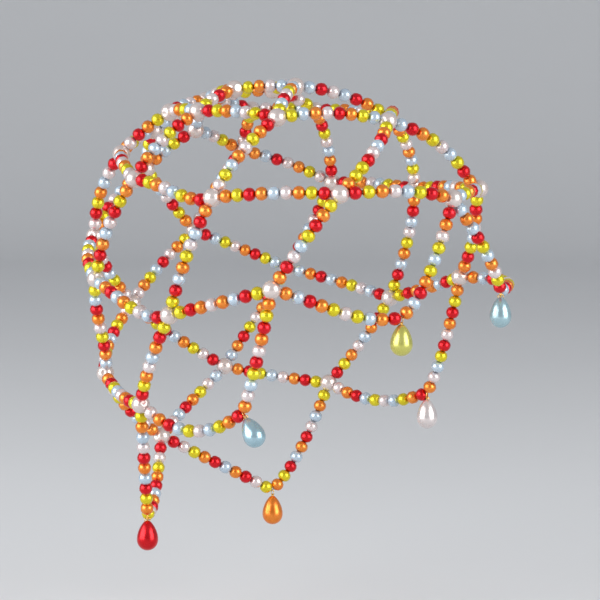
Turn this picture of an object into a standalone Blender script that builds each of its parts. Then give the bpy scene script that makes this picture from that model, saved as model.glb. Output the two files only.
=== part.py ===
"""Beaded mesh hat: a six-sided net of bead strings and knot pearls, in its worn form.

The net lies on a draping form, the surface on which the bead centres rest. Each
round of knots hangs from the round above it: a knot is the point of the form whose
two strings have the length of their beads. Front is -Y, up is +Z, the wearer's
right is -X. The origin is the top of the room inside. Sizes are in metres.
"""
import bpy
from math import cos, pi, radians, sin, sqrt
from mathutils import Matrix, Vector

# Beads
BEAD = 0.006
PEARL = 0.008
CLEARANCE = 0.0003
NECK = 0.0032
NECK_SCALE = 0.45
CONE_TIP = 0.0003

# The draping form
HALF_WIDTH = 0.085
HALF_BACK = 0.095
HALF_FRONT = 0.116
DOME_HEIGHT = 0.091
DOME_POWER = 2.4
NAPE_TAPER = 35.0
FORM_DROP = DOME_HEIGHT - BEAD / 2
MEAN_RADIUS = 0.095

# The net
SIDES = 6
POLE_TILT = 26.0
SPOKE_BEADS = 4
# round, beads in each string, pull of the strings, first azimuth
ROUNDS = (
    ("a", 4, 1.00, 0.0),
    ("b", 7, 1.00, 30.0),
    ("c", 8, 0.95, 0.0),
    ("d", 9, 1.00, 30.0),
    ("e", 8, 1.00, 0.0),
)
# rounds whose strings meet the next round's at a sharp angle
NARROW_ENDS = ("d", "e")
# round, azimuth, moved to the wearer's left, back and up in mm as the hat lies in the
# photograph, rests on the form
LIES = (
    ("pole", 0, -3.0, 0.0, 0.0, True),
    ("crown", 30, 0.0, -2.5, 0.0, True),
    ("crown", 90, -1.0, 0.0, 0.0, True),
    ("crown", 270, -1.5, 0.0, 0.0, True),
    ("a", 60, 0.0, -2.0, 0.0, True),
    ("b", 30, -2.0, 1.0, 0.0, True),
    ("b", 90, 0.0, 2.0, 7.0, True),
    ("b", 330, 2.0, 0.0, -1.0, True),
    ("c", 0, -2.5, 0.0, 0.0, True),
    ("c", 60, 0.0, 1.5, 0.0, True),
    ("c", 120, 0.0, 0.0, 2.0, True),
    ("d", 30, -2.5, 1.0, 2.0, True),
    ("d", 90, 0.0, 0.0, 2.0, True),
    ("d", 150, 0.0, 0.0, 4.0, True),
    ("d", 330, 1.0, -3.5, 1.0, False),
    ("e", 60, 0.0, 0.0, 2.0, True),
    ("e", 120, 0.0, 0.0, 2.0, True),
    ("e", 180, -4.0, 0.0, 2.0, True),
    ("swag", 30, 0.0, -2.0, 2.0, False),
    ("swag", 90, 7.2, 3.9, 2.5, False),
    ("swag", 150, 0.0, 3.0, -1.5, False),
    ("swag", 330, 21.0, -11.5, 11.0, False),
)
# round, azimuth of the lower knot, side that the string comes from, its bow in mm to the
# wearer's left, back and up, 2 or 3 if it bows most past its middle
BOWS = (
    ("c", 60, 30, 0.0, 0.0, -3.2, 3),
    ("d", 30, -30, 1.6, -1.9, -2.6, 1),
    ("d", 90, 30, 0.0, 0.0, -3.8, 3),
    ("d", 150, -30, 2.4, -2.9, 0.0, 2),
    ("e", 120, 30, 1.8, -2.2, -1.4, 1),
)
# azimuth and side of a swag's leg, the way that it sags, 2 if it is deepest past its middle
SAGS = {
    (330, -30): (Vector((0.95, -0.30, 0.05)), 1),
    (330, 30): (Vector((0.20, -0.76, -0.60)), 1),
    (30, 30): (Vector((0.0, 0.0, -1.0)), 2),
}

# The swags and drops
SWAG_BEADS = 10
SWAG_REACH = 0.0622
SWAG_TIP = 0.0006
DROP_WIDTH = 0.0102
DROP_HEIGHT = 0.0145
DROP_TIP = 0.0012
DROP_SHOULDER = 0.7
BAIL = 0.0016
BAIL_PIN = 0.0006
# azimuth, forward lean of a drop that doesn't hang straight down
LEANS = {90: 33.0}

# Facets
PEARL_SIDES = 10
PEARL_RINGS = 6
TUBE_RESOLUTION = 2
TUBE_STEP = 0.021
DROP_SIDES = 12

# azimuth from the front toward the wearer's right, place on the hat
PLACES = {
    0: "front", 30: "front_right", 60: "right_front", 90: "right",
    120: "right_back", 150: "back_right", 180: "back", 210: "back_left",
    240: "left_back", 270: "left", 300: "left_front", 330: "front_left",
}
# azimuth, colour of the drop
DROP_COLOURS = {
    330: ("ice blue", (0.62, 0.78, 0.86)),
    30: ("lemon", (0.86, 0.83, 0.16)),
    90: ("pale blue", (0.66, 0.80, 0.88)),
    150: ("red", (0.72, 0.04, 0.07)),
    210: ("orange", (0.93, 0.38, 0.06)),
    270: ("white", (0.90, 0.84, 0.83)),
}
# round, colour of its strings in the plain model
ROUND_COLOURS = {
    "crown": (0.88, 0.80, 0.79),
    "a": (0.90, 0.42, 0.10),
    "b": (0.86, 0.80, 0.20),
    "c": (0.70, 0.80, 0.88),
    "d": (0.78, 0.12, 0.14),
    "e": (0.88, 0.80, 0.79),
    "swag": (0.90, 0.55, 0.16),
}
GOLD_COLOUR = (0.83, 0.62, 0.25)


# The form that the net lies on
def form_value(point):
    """How far a point is outside (above zero) or inside the draping form."""
    z = point.z + FORM_DROP
    reach = HALF_FRONT if point.y < 0 else HALF_BACK
    taper = 1.0 - NAPE_TAPER * z * z if z < 0 else 1.0
    section = (point.x / (HALF_WIDTH * taper)) ** 2 + (point.y / (reach * taper)) ** 2
    dome = (z / DOME_HEIGHT) ** DOME_POWER if z > 0 else 0.0
    return section + dome - 1.0


def form_slope(point):
    """The gradient of form_value, by small steps."""
    step = 1e-6
    slope = Vector()
    for axis in range(3):
        ahead = point.copy()
        behind = point.copy()
        ahead[axis] += step
        behind[axis] -= step
        slope[axis] = (form_value(ahead) - form_value(behind)) / (2 * step)
    return slope


def onto_form(point, passes=4):
    """The point of the form close to a point."""
    for _ in range(passes):
        slope = form_slope(point)
        point = point - slope * (form_value(point) / slope.length_squared)
    return point


def along_form(start, heading, length, steps=8):
    """Walk a length over the form from a start, in a heading."""
    point = start.copy()
    for _ in range(steps):
        ahead = onto_form(point + heading.normalized() * (length / steps))
        normal = form_slope(ahead).normalized()
        heading = ahead - point
        heading = heading - normal * heading.dot(normal)
        point = ahead
    return point


def string_length(beads, pull=1.0):
    """Length of a string from pearl centre to pearl centre."""
    return (beads * BEAD + PEARL) * pull


def hang_from(left, right, length, pole):
    """The point of the form that hangs at one string length from two knots."""
    chord = 2 * MEAN_RADIUS * sin(length / (2 * MEAN_RADIUS))
    middle = (left + right) / 2
    normal = form_slope(middle).normalized()
    away = middle - pole
    away = away - normal * away.dot(normal)
    point = onto_form(middle + away.normalized() * chord * 0.7)
    for _ in range(20):
        slope = form_slope(point)
        to_left = point - left
        to_right = point - right
        miss = Vector((
            form_value(point) * 0.1,
            to_left.length - chord,
            to_right.length - chord,
        ))
        rows = Matrix((slope * 0.1, to_left.normalized(), to_right.normalized()))
        move = rows.inverted() @ miss
        if move.length > 0.012:
            move = move * (0.012 / move.length)
        point = point - move
    return point


def swag_bottom(left, right):
    """The lowest point of a swag: a V that hangs free between two pearls."""
    across = right - left
    down = Vector((0.0, 0.0, -1.0))
    down = down - across.normalized() * down.dot(across.normalized())
    depth = sqrt(max(SWAG_REACH ** 2 - across.length_squared / 4, 1e-6))
    return (left + right) / 2 + down.normalized() * depth


def lie(name, azimuth, point):
    """Move a knot to where it lies in the photograph."""
    for row, place, left, back, up, rests in LIES:
        if row == name and place == azimuth:
            point = point + Vector((left, back, up)) / 1000
            if rests:
                point = onto_form(point)
    return point


def knots():
    """All knots of the net: {(round, azimuth): centre}."""
    tilt = radians(POLE_TILT)
    upward = Vector((0.0, sin(tilt), cos(tilt)))
    centre = Vector((0.0, 0.0, -FORM_DROP))
    low, high = 0.02, 0.2
    for _ in range(50):
        middle = (low + high) / 2
        if form_value(centre + upward * middle) > 0:
            high = middle
        else:
            low = middle
    pole = centre + upward * low
    found = {("pole", 0): pole}
    normal = form_slope(pole).normalized()
    forward = Vector((0.0, -1.0, 0.0))
    forward = (forward - normal * forward.dot(normal)).normalized()
    for turn in range(SIDES):
        azimuth = 30 + 60 * turn
        angle = radians(azimuth)
        heading = forward * cos(angle) + Vector((-1.0, 0.0, 0.0)) * sin(angle)
        ray = along_form(pole, heading, string_length(SPOKE_BEADS))
        found[("crown", azimuth)] = ray
    above = "crown"
    for name, beads, pull, first in ROUNDS:
        length = string_length(beads, pull)
        for turn in range(SIDES):
            azimuth = int(first) + 60 * turn
            left = found[(above, (azimuth - 30) % 360)]
            right = found[(above, (azimuth + 30) % 360)]
            found[(name, azimuth)] = hang_from(left, right, length, pole)
        above = name
    for turn in range(SIDES):
        azimuth = 30 + 60 * turn
        left = found[("e", (azimuth - 30) % 360)]
        right = found[("e", (azimuth + 30) % 360)]
        found[("swag", azimuth)] = swag_bottom(left, right)
    return {key: lie(key[0], key[1], point) for key, point in found.items()}


def draped_line(start, end, steps):
    """Points of a string drawn over the form from one knot to another."""
    line = []
    for step in range(steps + 1):
        point = start.lerp(end, step / steps)
        if 0 < step < steps and form_value(point) < 0:
            point = onto_form(point)
        line.append(point)
    return line


def bow_share(t, late):
    """The share of a string's full bow at t along it, from 0 to 1."""
    fullness = (late + 1) ** (late + 1) / late ** late
    return fullness * t ** late * (1 - t)


def bowed_line(line, name, azimuth, side):
    """The points of a net string, moved where it bows in the photograph."""
    for row, place, way, left, back, up, late in BOWS:
        if (row, place, way) == (name, azimuth, side):
            bow = Vector((left, back, up)) / 1000
            last = len(line) - 1
            line = [
                point + bow * bow_share(step / last, late)
                for step, point in enumerate(line)
            ]
    return line


def hanging_line(start, end, length, sagging, late, steps):
    """Points of a string of a length that sags between two places."""
    chord = (end - start).length
    sag = sqrt(3.0 / 8.0 * chord * max(length - chord, 0.0))
    line = []
    for step in range(steps + 1):
        t = step / steps
        line.append(start.lerp(end, t) + sagging * (sag * bow_share(t, late)))
    return line


def at_distance(line, distance):
    """The point at a distance along a line of points."""
    for one, two in zip(line, line[1:]):
        length = (two - one).length
        if distance <= length:
            return one.lerp(two, distance / length)
        distance -= length
    return line[-1]


def line_length(line):
    """The length of a line of points."""
    return sum((two - one).length for one, two in zip(line, line[1:]))


# Modelling
def material(name, colour, metallic=0.0, roughness=0.3):
    """A plain Principled material."""
    made = bpy.data.materials.new(name)
    made.use_nodes = True
    shader = made.node_tree.nodes["Principled BSDF"]
    shader.inputs["Base Color"].default_value = (*colour, 1.0)
    shader.inputs["Metallic"].default_value = metallic
    shader.inputs["Roughness"].default_value = roughness
    return made


def select_only(piece):
    """Make one object the only selected and active one."""
    bpy.ops.object.select_all(action="DESELECT")
    piece.select_set(True)
    bpy.context.view_layer.objects.active = piece


def pearl(centre, diameter):
    """A round bead."""
    bpy.ops.mesh.primitive_uv_sphere_add(
        segments=PEARL_SIDES, ring_count=PEARL_RINGS, radius=diameter / 2, location=centre)
    made = bpy.context.object
    bpy.ops.object.transform_apply(location=True, rotation=True, scale=True)
    return made


def tube(line, start_gap, tip=None):
    """A bead string as a tube along a line.

    It starts with a narrow neck at a gap from its upper pearl. A narrow end, given as
    the radius of its tip, runs out as a cone, clear of the strings beside it.
    """
    total = line_length(line)
    first = start_gap
    stops = []
    if start_gap > 0.0:
        stops.append((first, NECK_SCALE))
        first = first + NECK
    stops.append((first, 1.0))
    last = total - (PEARL / 2 + CLEARANCE + NECK) if tip else total
    pieces = max(1, round((last - first) / TUBE_STEP))
    for piece in range(1, pieces + 1):
        stops.append((first + (last - first) * piece / pieces, 1.0))
    if tip:
        stops.append((total, tip / (BEAD / 2)))
    curve = bpy.data.curves.new("string", "CURVE")
    curve.dimensions = "3D"
    curve.bevel_depth = BEAD / 2
    curve.bevel_resolution = TUBE_RESOLUTION
    curve.use_fill_caps = True
    spline = curve.splines.new("POLY")
    spline.points.add(len(stops) - 1)
    for point, (distance, scale) in zip(spline.points, stops):
        point.co = (*at_distance(line, distance), 1.0)
        point.radius = scale
    made = bpy.data.objects.new("string", curve)
    bpy.context.collection.objects.link(made)
    select_only(made)
    bpy.ops.object.convert(target="MESH")
    return bpy.context.object


def fuse(name, pieces, look):
    """Unite pieces into one body."""
    body = pieces[0]
    for piece in pieces[1:]:
        cut = body.modifiers.new("fuse", "BOOLEAN")
        cut.operation = "UNION"
        cut.solver = "EXACT"
        cut.object = piece
        select_only(body)
        bpy.ops.object.modifier_apply(modifier=cut.name)
        bpy.data.objects.remove(piece)
    return finish(name, body, look)


def finish(name, body, look):
    """Name a body, smooth its round faces and give it its material."""
    body.name = name
    body.data.name = name
    body.data.materials.clear()
    body.data.materials.append(look)
    select_only(body)
    bpy.ops.object.shade_smooth()
    body.data.set_sharp_from_angle(angle=radians(50))
    return body


def crown_star(found):
    """The pole pearl, its six spokes and the six pearls at their ends."""
    pole = found[("pole", 0)]
    pieces = [pearl(pole, PEARL)]
    for turn in range(SIDES):
        end = found[("crown", 30 + 60 * turn)]
        line = draped_line(pole, end, 8)
        pieces.append(tube(line, 0.0))
        pieces.append(pearl(end, PEARL))
    fuse("crown_star", pieces, material("crown_star", ROUND_COLOURS["crown"]))


def net_piece(name, azimuth, above, found):
    """A knot pearl and the two strings that hold it to the round above."""
    knot = found[(name, azimuth)]
    pieces = [pearl(knot, PEARL)]
    for side in (-30, 30):
        top = found[(above, (azimuth + side) % 360)]
        line = bowed_line(draped_line(top, knot, 12), name, azimuth, side)
        tip = CONE_TIP if name in NARROW_ENDS else None
        pieces.append(tube(line, PEARL / 2 + CLEARANCE, tip))
    label = f"round_{name}_{PLACES[azimuth]}"
    fuse(label, pieces, material(label, ROUND_COLOURS[name]))


def swag_legs(azimuth, found):
    """The lines of a swag's two legs, from the pearls of the last round to its bottom."""
    bottom = found[("swag", azimuth)]
    length = string_length(SWAG_BEADS) - PEARL / 2
    legs = []
    for side in (-30, 30):
        top = found[("e", (azimuth + side) % 360)]
        sagging, late = SAGS.get((azimuth, side), (Vector((0.0, 0.0, -1.0)), 1))
        legs.append(hanging_line(top, bottom, length, sagging, late, 16))
    return legs


def swag(azimuth, found):
    """Two strings that hang as a V between two pearls of the last round."""
    pieces = []
    for line in swag_legs(azimuth, found):
        pieces.append(tube(line, PEARL / 2 + CLEARANCE, SWAG_TIP))
    label = f"swag_{PLACES[azimuth]}"
    fuse(label, pieces, material(label, ROUND_COLOURS["swag"]))


def bail_depth(azimuth, found):
    """How far under a swag's bottom its bail starts, clear of a leg that dips beside it."""
    depth = SWAG_TIP
    flare = (BEAD / 2 - SWAG_TIP) / (PEARL / 2 + CLEARANCE + NECK)
    beside = BAIL / 2
    for line in swag_legs(azimuth, found):
        run = line[-2] - line[-1]
        dip = max(-run.z / sqrt(run.x ** 2 + run.y ** 2), 0.0)
        low = (SWAG_TIP + flare * beside) * sqrt(1 + dip ** 2) + dip * beside
        depth = max(depth, low)
    return depth + CLEARANCE


def lathe(name, profile, pivot, lean, look):
    """A closed body turned about a line that leans forward by lean through a pivot."""
    verts = []
    faces = []
    rows = profile[1:-1]
    for radius, depth in rows:
        for side in range(DROP_SIDES):
            angle = 2 * pi * side / DROP_SIDES
            verts.append(Vector((radius * cos(angle), radius * sin(angle), -depth)))
    crown = len(verts)
    verts.append(Vector((0.0, 0.0, -profile[0][1])))
    verts.append(Vector((0.0, 0.0, -profile[-1][1])))
    turn = Matrix.Rotation(radians(-lean), 3, "X")
    verts = [pivot + turn @ vert for vert in verts]
    for side in range(DROP_SIDES):
        after = (side + 1) % DROP_SIDES
        faces.append((crown, side, after))
        for row in range(len(rows) - 1):
            one = row * DROP_SIDES
            two = one + DROP_SIDES
            faces.append((one + side, two + side, two + after, one + after))
        last = (len(rows) - 1) * DROP_SIDES
        faces.append((last + side, crown + 1, last + after))
    mesh = bpy.data.meshes.new(name)
    mesh.from_pydata(verts, [], faces)
    body = bpy.data.objects.new(name, mesh)
    bpy.context.collection.objects.link(body)
    return finish(name, body, look)


def bail_profile(start):
    """Radius and depth of the small gold bead that carries a drop."""
    return [
        (0.0, start),
        (BAIL_PIN, start),
        (BAIL / 2, start + BAIL / 2),
        (BAIL_PIN, start + BAIL),
        (0.0, start + BAIL),
    ]


def drop_profile(start):
    """Radius and depth of the teardrop, from its tip down."""
    belly = DROP_WIDTH / 2
    low = DROP_HEIGHT - belly
    rows = [(0.0, start), (DROP_TIP / 2, start)]
    for step in range(1, 5):
        t = step / 5
        wide = DROP_TIP / 2 + (belly - DROP_TIP / 2) * sin(pi / 2 * t) ** DROP_SHOULDER
        rows.append((wide, start + low * t))
    for step in range(4):
        angle = pi / 2 * step / 4
        rows.append((belly * cos(angle), start + low + belly * sin(angle)))
    rows.append((0.0, start + DROP_HEIGHT))
    return rows


def drop(azimuth, found):
    """A small gold bail under the swag and the teardrop pearl that it carries."""
    place = PLACES[azimuth]
    pivot = found[("swag", azimuth)]
    lean = LEANS.get(azimuth, 0.0)
    start = bail_depth(azimuth, found) * cos(radians(lean))
    gold = material(f"bail_{place}", GOLD_COLOUR, 1.0, 0.25)
    lathe(f"bail_{place}", bail_profile(start), pivot, lean, gold)
    start = start + BAIL + CLEARANCE
    coat = material(f"drop_{place}", DROP_COLOURS[azimuth][1])
    lathe(f"drop_{place}", drop_profile(start), pivot, lean, coat)


def build():
    """Build the hat."""
    for thing in list(bpy.data.objects):
        bpy.data.objects.remove(thing)
    found = knots()
    crown_star(found)
    above = "crown"
    for name, _, _, first in ROUNDS:
        for turn in range(SIDES):
            net_piece(name, int(first) + 60 * turn, above, found)
        above = name
    for turn in range(SIDES):
        swag(30 + 60 * turn, found)
        drop(30 + 60 * turn, found)


build()
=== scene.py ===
"""Beaded mesh hat: the single beads, knot pearls, thread, gold rings and drops.

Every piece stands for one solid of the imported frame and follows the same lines: a net
of six sides that drapes over a form, each knot hanging from the two knots above it.
Front is -Y, up is +Z and the wearer's right is -X. Sizes are in metres.
"""
import logging
from dataclasses import dataclass, field
from enum import Enum
from math import cos, pi, radians, sin, sqrt
from random import Random
from typing import Callable

import bmesh
import bpy
from mathutils import Matrix, Vector


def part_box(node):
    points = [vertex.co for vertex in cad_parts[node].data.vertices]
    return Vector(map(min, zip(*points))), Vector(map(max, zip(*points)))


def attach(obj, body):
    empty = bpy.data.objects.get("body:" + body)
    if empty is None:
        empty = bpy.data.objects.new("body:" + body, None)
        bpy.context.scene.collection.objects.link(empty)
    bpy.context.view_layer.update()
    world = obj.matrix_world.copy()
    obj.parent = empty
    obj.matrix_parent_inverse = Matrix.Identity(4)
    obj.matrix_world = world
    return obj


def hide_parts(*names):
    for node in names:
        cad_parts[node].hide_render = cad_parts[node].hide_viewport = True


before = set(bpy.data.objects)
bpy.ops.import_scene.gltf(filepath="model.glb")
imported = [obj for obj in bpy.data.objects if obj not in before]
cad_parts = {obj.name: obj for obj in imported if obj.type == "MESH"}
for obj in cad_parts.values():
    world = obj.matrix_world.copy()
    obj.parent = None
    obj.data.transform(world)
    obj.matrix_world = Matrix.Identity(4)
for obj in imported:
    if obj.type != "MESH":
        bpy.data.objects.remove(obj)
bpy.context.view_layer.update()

LOG = logging.getLogger("beaded_hat")

BEAD = 0.006
PEARL = 0.008
SIDES = 6
SECTOR = 60
HALF_SECTOR = 30
Line = list[Vector]
Key = tuple[str, int]

# azimuth from the front toward the wearer's right, place on the hat
PLACES: dict[int, str] = {
    0: "front", 30: "front_right", 60: "right_front", 90: "right",
    120: "right_back", 150: "back_right", 180: "back", 210: "back_left",
    240: "left_back", 270: "left", 300: "left_front", 330: "front_left",
}

# round, azimuth of the lower knot, side that the string comes from: beads from the top
CHART: dict[tuple[str, int, int], str] = {
    ("crown", 30, 0): "BWYO", ("crown", 90, 0): "OWBR", ("crown", 150, 0): "RYWB",
    ("a", 0, 30): "YOWB", ("a", 60, -30): "ORWY", ("a", 60, 30): "WOYB",
    ("a", 120, -30): "YORW", ("a", 120, 30): "BWYO", ("a", 180, -30): "RYBO",
    ("b", 30, -30): "BOYWRBY", ("b", 30, 30): "RYOBWYR", ("b", 90, -30): "ORYWBOR",
    ("b", 90, 30): "OBRWOYW", ("b", 150, -30): "RWBOYRW", ("b", 150, 30): "YOBWRYO",
    ("b", 330, 30): "BRWBROY",
    ("c", 0, 30): "YBOWROYB", ("c", 60, -30): "ROYWOBYW", ("c", 60, 30): "RYOWBYOR",
    ("c", 120, -30): "OYRWBORY", ("c", 120, 30): "RBYWORYB", ("c", 180, -30): "YOWRBYOW",
    ("d", 30, -30): "YORBWRYYO", ("d", 30, 30): "OYROBWOYR", ("d", 90, -30): "ORBWYOBRY",
    ("d", 90, 30): "BORBOYWBR", ("d", 150, -30): "YBROWYROB", ("d", 150, 30): "WOYRBOYWR",
    ("d", 330, 30): "BROYWBYRO",
    ("e", 0, 30): "RYOWBYRO", ("e", 0, -30): "YWWBROYB", ("e", 60, -30): "YORYBWRO",
    ("e", 60, 30): "YROWOBRY", ("e", 120, -30): "YROBWOYR", ("e", 120, 30): "ORYBWORY",
    ("e", 180, -30): "BWYORBWO", ("e", 300, 30): "YROWBYRO",
    ("swag", 30, -30): "ROWYBYORBO", ("swag", 30, 30): "OBROYWYBOR",
    ("swag", 90, -30): "OYROWRYBWO", ("swag", 90, 30): "WORBYWBYOR",
    ("swag", 150, -30): "YOBWROBRYO", ("swag", 150, 30): "RWYORBORWY",
    ("swag", 330, 30): "BOBRYBOWYR", ("swag", 330, -30): "OBROYWYORB",
}


# Finishes
class BeadColour(Enum):
    """The five coats of the small beads, by their letter in the chart."""

    WHITE = "W"
    BLUE = "B"
    YELLOW = "Y"
    ORANGE = "O"
    RED = "R"


class GroupKind(Enum):
    """The shader node groups that several finishes share."""

    NACRE = "nacre_clouding"
    MOTTLE = "fine_mottle"


def start_group(kind: GroupKind, inputs: dict[str, float | None],
                outputs: tuple[str, ...]) -> bpy.types.NodeTree:
    """Start a node group with its sockets.

    Args:
        kind: Which group it is.
        inputs: The default of each number input, or None for a colour.
        outputs: The names of its outputs, of which Colour alone is a colour.

    Returns:
        The group's tree.
    """
    tree = bpy.data.node_groups.new(kind.value, "ShaderNodeTree")
    for name, value in inputs.items():
        kind_of = "NodeSocketColor" if value is None else "NodeSocketFloat"
        made = tree.interface.new_socket(name=name, in_out="INPUT", socket_type=kind_of)
        if value is not None:
            made.default_value = value
    for name in outputs:
        kind_of = "NodeSocketColor" if name == "Colour" else "NodeSocketFloat"
        tree.interface.new_socket(name=name, in_out="OUTPUT", socket_type=kind_of)
    return tree


def blend_tones(tree: bpy.types.NodeTree, inside: bpy.types.Node, outside: bpy.types.Node,
                mask: bpy.types.NodeSocket, grain: bpy.types.NodeSocket) -> None:
    """Mix a group's two tones, let its gloss follow the grain, and put both out.

    Args:
        tree: The group's tree.
        inside: Its input node, whose first two sockets are the tones.
        outside: Its output node.
        mask: Where the second tone shows.
        grain: What the gloss follows.
    """
    nodes, links = tree.nodes, tree.links
    tone = nodes.new("ShaderNodeMix")
    tone.data_type = "RGBA"
    gloss = nodes.new("ShaderNodeMapRange")
    links.new(mask, tone.inputs["Factor"])
    links.new(inside.outputs[0], tone.inputs["A"])
    links.new(inside.outputs[1], tone.inputs["B"])
    links.new(grain, gloss.inputs["Value"])
    links.new(inside.outputs["Rough Low"], gloss.inputs["To Min"])
    links.new(inside.outputs["Rough High"], gloss.inputs["To Max"])
    links.new(tone.outputs["Result"], outside.inputs["Colour"])
    links.new(gloss.outputs["Result"], outside.inputs["Roughness"])


def nacre_group() -> bpy.types.NodeTree:
    """Clouding of a pearl coat: slow drifts of tone, fine grain in gloss and height.

    Returns:
        The node group, built on the first call.
    """
    found = bpy.data.node_groups.get(GroupKind.NACRE.value)
    if found:
        return found
    inputs = {"Body": None, "Drift": None, "Cloud Scale": 240.0,
              "Rough Low": 0.2, "Rough High": 0.3}
    tree = start_group(GroupKind.NACRE, inputs, ("Colour", "Roughness", "Height"))
    nodes, links = tree.nodes, tree.links
    inside, outside = nodes.new("NodeGroupInput"), nodes.new("NodeGroupOutput")
    place = nodes.new("ShaderNodeTexCoord")
    clouds = nodes.new("ShaderNodeTexNoise")
    clouds.inputs["Detail"].default_value = 3.0
    clouds.inputs["Roughness"].default_value = 0.55
    spread = nodes.new("ShaderNodeMapRange")
    spread.inputs["From Min"].default_value = 0.35
    spread.inputs["From Max"].default_value = 0.68
    grain = nodes.new("ShaderNodeTexNoise")
    grain.inputs["Scale"].default_value = 1500.0
    grain.inputs["Detail"].default_value = 2.0
    links.new(place.outputs["Object"], clouds.inputs["Vector"])
    links.new(place.outputs["Object"], grain.inputs["Vector"])
    links.new(inside.outputs["Cloud Scale"], clouds.inputs["Scale"])
    links.new(clouds.outputs["Fac"], spread.inputs["Value"])
    links.new(grain.outputs["Fac"], outside.inputs["Height"])
    blend_tones(tree, inside, outside, spread.outputs["Result"], grain.outputs["Fac"])
    return tree


def mottle_group() -> bpy.types.NodeTree:
    """Fine mottling between two tones, with gloss that follows it.

    Returns:
        The node group, built on the first call.
    """
    found = bpy.data.node_groups.get(GroupKind.MOTTLE.value)
    if found:
        return found
    inputs = {"Light": None, "Dark": None, "Scale": 900.0, "Rough Low": 0.1, "Rough High": 0.3}
    tree = start_group(GroupKind.MOTTLE, inputs, ("Colour", "Roughness"))
    nodes, links = tree.nodes, tree.links
    inside, outside = nodes.new("NodeGroupInput"), nodes.new("NodeGroupOutput")
    place = nodes.new("ShaderNodeTexCoord")
    noise = nodes.new("ShaderNodeTexNoise")
    noise.inputs["Detail"].default_value = 4.0
    links.new(place.outputs["Object"], noise.inputs["Vector"])
    links.new(inside.outputs["Scale"], noise.inputs["Scale"])
    blend_tones(tree, inside, outside, noise.outputs["Fac"], noise.outputs["Fac"])
    return tree


def blank_material(name: str) -> tuple[bpy.types.Material, bpy.types.Node]:
    """A new node material.

    Args:
        name: The finish's name.

    Returns:
        The material and its Principled shader.
    """
    made = bpy.data.materials.new(name)
    made.use_nodes = True
    return made, made.node_tree.nodes["Principled BSDF"]


@dataclass(frozen=True)
class PearlCoat:
    """A lustrous pearl lacquer over a plastic bead."""

    name: str
    body: tuple[float, float, float]
    drift: tuple[float, float, float]
    metallic: float = 0.72
    rough_low: float = 0.25
    rough_high: float = 0.28
    coat: float = 0.15
    coat_roughness: float = 0.15
    coat_ior: float = 1.5
    cloud_scale: float = 240.0
    grain: float = 0.02
    grain_depth: float = 0.00003

    def dress(self) -> bpy.types.Material:
        """Build the coat as a material.

        Returns:
            The material.
        """
        made, shader = blank_material(self.name)
        nodes, links = made.node_tree.nodes, made.node_tree.links
        clouding = nodes.new("ShaderNodeGroup")
        clouding.node_tree = nacre_group()
        clouding.inputs["Body"].default_value = (*self.body, 1.0)
        clouding.inputs["Drift"].default_value = (*self.drift, 1.0)
        clouding.inputs["Cloud Scale"].default_value = self.cloud_scale
        clouding.inputs["Rough Low"].default_value = self.rough_low
        clouding.inputs["Rough High"].default_value = self.rough_high
        bump = nodes.new("ShaderNodeBump")
        bump.inputs["Strength"].default_value = self.grain
        bump.inputs["Distance"].default_value = self.grain_depth
        links.new(clouding.outputs["Colour"], shader.inputs["Base Color"])
        links.new(clouding.outputs["Roughness"], shader.inputs["Roughness"])
        links.new(clouding.outputs["Height"], bump.inputs["Height"])
        links.new(bump.outputs["Normal"], shader.inputs["Normal"])
        shader.inputs["Metallic"].default_value = self.metallic
        shader.inputs["Coat Weight"].default_value = self.coat
        shader.inputs["Coat Roughness"].default_value = self.coat_roughness
        shader.inputs["Coat IOR"].default_value = self.coat_ior
        return made


@dataclass(frozen=True)
class MottledFace:
    """A plain surface with a fine mottle: the gold plating or the studio's paper."""

    name: str
    light: tuple[float, float, float]
    dark: tuple[float, float, float]
    scale: float
    rough_low: float
    rough_high: float
    metallic: float

    def dress(self) -> bpy.types.Material:
        """Build the surface as a material.

        Returns:
            The material.
        """
        made, shader = blank_material(self.name)
        nodes, links = made.node_tree.nodes, made.node_tree.links
        mottle = nodes.new("ShaderNodeGroup")
        mottle.node_tree = mottle_group()
        mottle.inputs["Light"].default_value = (*self.light, 1.0)
        mottle.inputs["Dark"].default_value = (*self.dark, 1.0)
        mottle.inputs["Scale"].default_value = self.scale
        mottle.inputs["Rough Low"].default_value = self.rough_low
        mottle.inputs["Rough High"].default_value = self.rough_high
        links.new(mottle.outputs["Colour"], shader.inputs["Base Color"])
        links.new(mottle.outputs["Roughness"], shader.inputs["Roughness"])
        shader.inputs["Metallic"].default_value = self.metallic
        return made


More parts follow.
